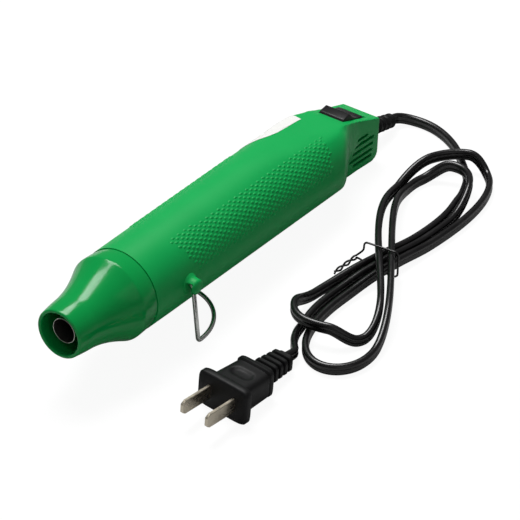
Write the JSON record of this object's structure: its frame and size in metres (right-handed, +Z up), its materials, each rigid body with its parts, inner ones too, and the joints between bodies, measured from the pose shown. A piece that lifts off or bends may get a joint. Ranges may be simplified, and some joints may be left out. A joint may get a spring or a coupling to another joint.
{
  "type": "embossing heat tool",
  "caption": "Pencil-style hot-air craft tool with a flared nozzle, folding wire stand, tail rocker switch, hanked flat cord and two-blade plug.",
  "frame": {"origin": "on the table, under the middle of the tool's length (cord and plug not counted)", "axes": "+X from the nozzle to the tail, +Y to the side away from the hanked cord, +Z up"},
  "size_m": [0.2481, 0.1142, 0.048],
  "materials": {
    "shell_green": "satin moulded green plastic",
    "shroud_green": "glossy moulded green plastic",
    "black_plastic": "black moulded plastic",
    "cord_black": "black vinyl jacket with a soft sheen",
    "wire_steel": "drawn steel wire",
    "tube_steel": "steel tube, slightly heat-tinted",
    "screw_steel": "plated steel",
    "blade_nickel": "nickel-plated brass",
    "copper_wire": "enamelled copper",
    "mica": "pale brown mica board",
    "ceramic": "off-white ceramic",
    "board": "green circuit board",
    "nylon": "natural nylon",
    "label_white": "bare white sticker",
    "can_steel": "plated motor can"
  },
  "bodies": {
    "tool": {"left_shell": "shell_green", "right_shell": "shell_green", "body_screws": "screw_steel", "shroud": "shroud_green", "outlet_tube": "tube_steel", "mica_sleeve": "mica", "heater_former": "mica", "heating_coil": "tube_steel", "thermal_fuse": "can_steel", "element_plate": "ceramic", "heater_leads": "copper_wire", "motor_can": "can_steel", "motor_magnets": "black_plastic", "motor_cap": "nylon", "motor_cradle": "black_plastic", "circuit_board": "board", "rectifier_diodes": "black_plastic", "capacitor": "copper_wire", "mains_leads": "copper_wire", "rating_label": "label_white", "switch_body": "black_plastic", "switch_terminals": "blade_nickel", "cord_clamp": "nylon", "clamp_screws": "screw_steel", "strain_relief": "cord_black", "cord_inner": "cord_black", "cord_lead": "cord_black", "cord_hank": "cord_black", "cord_tail": "cord_black", "plug_body": "cord_black", "plug_blades": "blade_nickel", "twist_tie": "cord_black"},
    "rotor": {"fan_impeller": "nylon", "motor_shaft": "can_steel", "armature": "can_steel", "commutator": "copper_wire"},
    "stand": {"stand_bail": "wire_steel"},
    "rocker": {"switch_rocker": "black_plastic"}
  },
  "joints": [
    {"name": "stand_fold", "type": "hinge", "parent": "tool", "child": "stand", "pos_m": [-0.04592, 0, 0.02731], "axis": [0, 1, 0], "range_deg": [0, 100]},
    {"name": "rocker_tilt", "type": "hinge", "parent": "tool", "child": "rocker", "pos_m": [0.08931, 0, 0.02539], "axis": [0, 1, 0], "range_deg": [-22, 0]},
    {"name": "fan_spin", "type": "hinge", "parent": "tool", "child": "rotor", "pos_m": [-0.0063, 0, 0.02489], "axis": [0.9981, 0, -0.061], "continuous": true}
  ]
}
